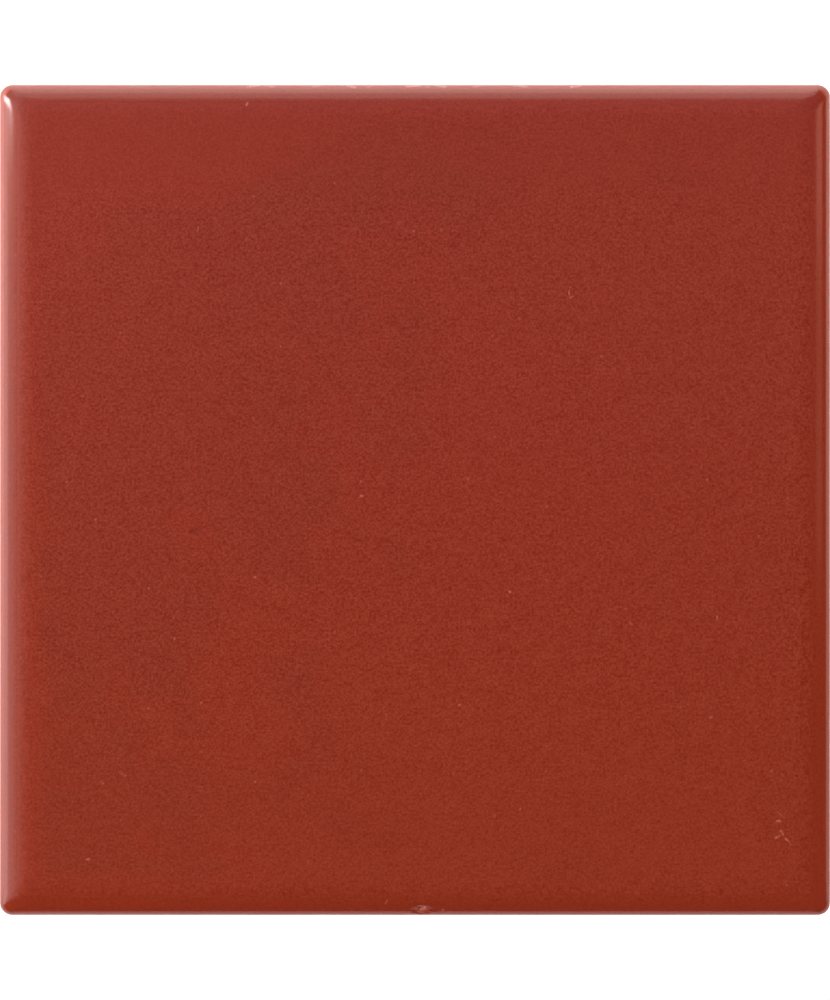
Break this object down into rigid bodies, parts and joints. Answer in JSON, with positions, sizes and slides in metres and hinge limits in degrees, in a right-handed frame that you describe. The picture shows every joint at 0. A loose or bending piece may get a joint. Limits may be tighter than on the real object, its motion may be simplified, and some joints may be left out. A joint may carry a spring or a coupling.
{
  "type": "ceramic tile",
  "caption": "Square glazed wall tile with a cushioned face that rolls off to an upright edge, and a keyed back with a lattice of ribs that grips the adhesive it is laid in.",
  "frame": {"origin": "middle of the bed, the plane of the rim and rib tops on the back", "axes": "+Z points out of the glazed face; X and Y run square to the four edges, with +Y at the top of the picture"},
  "size_m": [0.1, 0.1, 0.007],
  "materials": {
    "glaze": "satin"
  },
  "bodies": {
    "root": {"tile": "glaze"}
  },
  "joints": []
}
